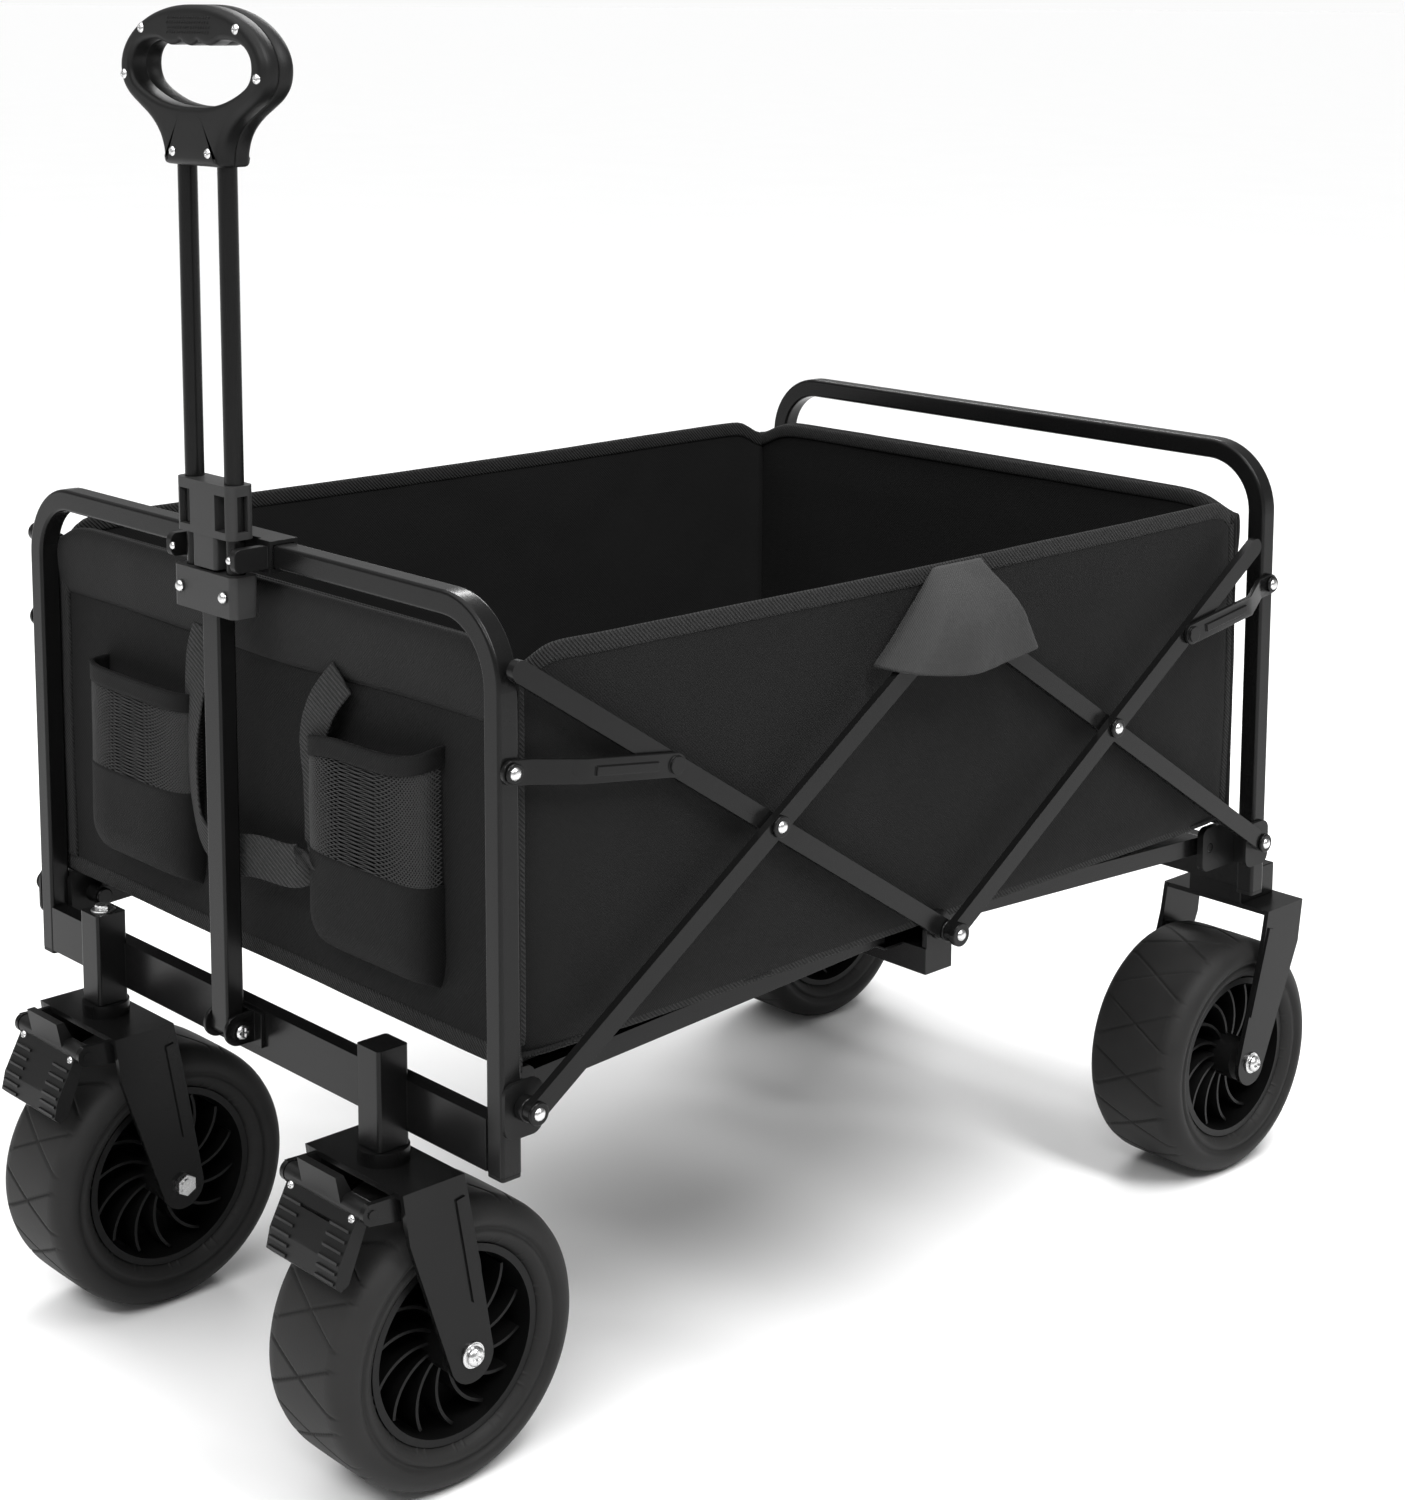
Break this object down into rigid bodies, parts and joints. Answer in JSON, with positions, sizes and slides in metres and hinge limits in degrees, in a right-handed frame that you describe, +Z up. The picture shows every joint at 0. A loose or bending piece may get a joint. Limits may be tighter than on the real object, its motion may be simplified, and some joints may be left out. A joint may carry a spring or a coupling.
{
  "type": "wagon",
  "caption": "Folding utility wagon: two end hoops, scissor side bars, fabric basket with cup pockets, braked casters in front, fixed wheels behind and a telescoping pull handle.",
  "frame": {"origin": "on the floor under the middle of the bounding box, wagon open and handle upright", "axes": "+X to the wagon's side (right as seen from the handle end), +Y along the wagon away from the handle, +Z up"},
  "size_m": [0.6052, 0.9508, 0.952],
  "materials": {
    "frame": "satin",
    "rivet": "satin",
    "plastic": "fine grain",
    "fabric": "coarse weave",
    "tyre": "matte",
    "hub": "satin"
  },
  "bodies": {
    "front_frame": {"front_hoop": "frame", "front_beam": "frame", "front_post_caps": "plastic", "front_corner_brackets": "plastic", "front_pivots": "rivet", "handle_bracket": "frame", "handle_bolt": "rivet", "handle_clip": "plastic", "front_panel": "fabric", "cup_pocket_right": "fabric", "cup_pocket_left": "fabric", "side_wall_right": "fabric", "side_wall_left": "fabric", "floor_cloth": "fabric"},
    "front_lower_bars": {"bar_front_lower_right": "frame", "bar_front_lower_left": "frame", "top_rivets": "rivet"},
    "front_upper_bars": {"bar_front_upper_right": "frame", "bar_front_upper_left": "frame", "front_cross_rivets": "rivet"},
    "centre": {"centre_channel": "frame", "centre_bolts": "rivet"},
    "rear_upper_bars": {"bar_rear_upper_right": "frame", "bar_rear_upper_left": "frame"},
    "rear_lower_bars": {"bar_rear_lower_right": "frame", "bar_rear_lower_left": "frame", "rear_cross_rivets": "rivet"},
    "rear_frame": {"rear_hoop": "frame", "rear_beam": "frame", "rear_post_caps": "plastic", "rear_corner_brackets": "plastic", "rear_pivots": "rivet", "rear_fork_right": "frame", "rear_fork_left": "frame", "rear_panel": "fabric", "rear_axles": "rivet"},
    "base_front": {"base_frame_front": "frame"},
    "base_rear": {"base_frame_rear": "frame"},
    "front_links": {"links_front": "frame"},
    "rear_links": {"links_rear": "frame"},
    "caster_right": {"caster_fork_right": "frame", "caster_axle_right": "rivet"},
    "caster_left": {"caster_fork_left": "frame", "caster_axle_left": "rivet"},
    "pedal_right": {"brake_pedal_right": "plastic"},
    "pedal_left": {"brake_pedal_left": "plastic"},
    "wheel_front_right": {"tyre_front_right": "tyre", "hub_front_right": "hub"},
    "wheel_front_left": {"tyre_front_left": "tyre", "hub_front_left": "hub"},
    "wheel_rear_right": {"tyre_rear_right": "tyre", "hub_rear_right": "hub"},
    "wheel_rear_left": {"tyre_rear_left": "tyre", "hub_rear_left": "hub"},
    "handle_lower": {"handle_stick": "frame", "handle_collar": "plastic"},
    "handle_upper": {"handle_tubes": "frame", "handle_clamp": "plastic", "grip_front": "plastic", "grip_back": "plastic"}
  },
  "joints": [
    {"name": "fold", "type": "hinge", "parent": "front_frame", "child": "front_lower_bars", "pos_m": [0, -0.38342, 0.284], "axis": [1, 0, 0], "range_deg": [0, 38.8], "deforming": ["side_wall_right", "side_wall_left", "floor_cloth"]},
    {"name": "front_cross", "type": "hinge", "parent": "front_lower_bars", "child": "front_upper_bars", "pos_m": [0, -0.17745, 0.42033], "axis": [1, 0, 0], "range_deg": [-77.6, 0]},
    {"name": "centre_front", "type": "hinge", "parent": "front_upper_bars", "child": "centre", "pos_m": [0, -0.0015, 0.30387], "axis": [1, 0, 0], "range_deg": [0, 38.8]},
    {"name": "centre_rear", "type": "hinge", "parent": "centre", "child": "rear_upper_bars", "pos_m": [0, -0.0015, 0.30387], "axis": [1, 0, 0], "range_deg": [0, 38.8]},
    {"name": "rear_cross", "type": "hinge", "parent": "rear_upper_bars", "child": "rear_lower_bars", "pos_m": [0, 0.17445, 0.42033], "axis": [1, 0, 0], "range_deg": [-77.6, 0]},
    {"name": "rear_corner", "type": "hinge", "parent": "rear_lower_bars", "child": "rear_frame", "pos_m": [0, 0.38042, 0.284], "axis": [1, 0, 0], "range_deg": [0, 38.8]},
    {"name": "base_fold_front", "type": "hinge", "parent": "front_frame", "child": "base_front", "pos_m": [0, -0.36742, 0.282], "axis": [1, 0, 0], "range_deg": [0, 81.09]},
    {"name": "base_fold_rear", "type": "hinge", "parent": "rear_frame", "child": "base_rear", "pos_m": [0, 0.34242, 0.282], "axis": [1, 0, 0], "range_deg": [-81.09, 0]},
    {"name": "link_front", "type": "hinge", "parent": "front_frame", "child": "front_links", "pos_m": [0, -0.38942, 0.496], "axis": [1, 0, 0], "range_deg": [0, 76.36]},
    {"name": "link_rear", "type": "hinge", "parent": "rear_frame", "child": "rear_links", "pos_m": [0, 0.38642, 0.496], "axis": [1, 0, 0], "range_deg": [-76.36, 0]},
    {"name": "caster_right_swivel", "type": "hinge", "parent": "front_frame", "child": "caster_right", "pos_m": [0.171, -0.40742, 0], "axis": [0, 0, 1], "continuous": true},
    {"name": "caster_left_swivel", "type": "hinge", "parent": "front_frame", "child": "caster_left", "pos_m": [-0.171, -0.40742, 0], "axis": [0, 0, 1], "continuous": true},
    {"name": "wheel_front_right_spin", "type": "hinge", "parent": "caster_right", "child": "wheel_front_right", "pos_m": [0.171, -0.37842, 0.097], "axis": [1, 0, 0], "continuous": true},
    {"name": "wheel_front_left_spin", "type": "hinge", "parent": "caster_left", "child": "wheel_front_left", "pos_m": [-0.171, -0.37842, 0.097], "axis": [1, 0, 0], "continuous": true},
    {"name": "brake_right", "type": "hinge", "parent": "caster_right", "child": "pedal_right", "pos_m": [0.171, -0.44942, 0.212], "axis": [1, 0, 0], "range_deg": [0, 12]},
    {"name": "brake_left", "type": "hinge", "parent": "caster_left", "child": "pedal_left", "pos_m": [-0.171, -0.44942, 0.212], "axis": [1, 0, 0], "range_deg": [0, 12]},
    {"name": "wheel_rear_right_spin", "type": "hinge", "parent": "rear_frame", "child": "wheel_rear_right", "pos_m": [0.232, 0.37842, 0.097], "axis": [1, 0, 0], "continuous": true},
    {"name": "wheel_rear_left_spin", "type": "hinge", "parent": "rear_frame", "child": "wheel_rear_left", "pos_m": [-0.232, 0.37842, 0.097], "axis": [1, 0, 0], "continuous": true},
    {"name": "handle_tilt", "type": "hinge", "parent": "front_frame", "child": "handle_lower", "pos_m": [0, -0.41242, 0.262], "axis": [1, 0, 0], "range_deg": [0, 100]},
    {"name": "handle_slide", "type": "slide", "parent": "handle_lower", "child": "handle_upper", "axis": [0, 0, 1], "range_m": [-0.2, 0]}
  ],
  "couplings": [
    {"joint": "front_cross", "follows": "fold", "ratio": -2},
    {"joint": "centre_front", "follows": "fold", "ratio": 1},
    {"joint": "centre_rear", "follows": "fold", "ratio": 1},
    {"joint": "rear_cross", "follows": "fold", "ratio": -2},
    {"joint": "rear_corner", "follows": "fold", "ratio": 1},
    {"joint": "base_fold_front", "follows": "fold", "ratio": 2.09},
    {"joint": "base_fold_rear", "follows": "fold", "ratio": -2.09},
    {"joint": "link_front", "follows": "fold", "ratio": 1.968},
    {"joint": "link_rear", "follows": "fold", "ratio": -1.968}
  ]
}
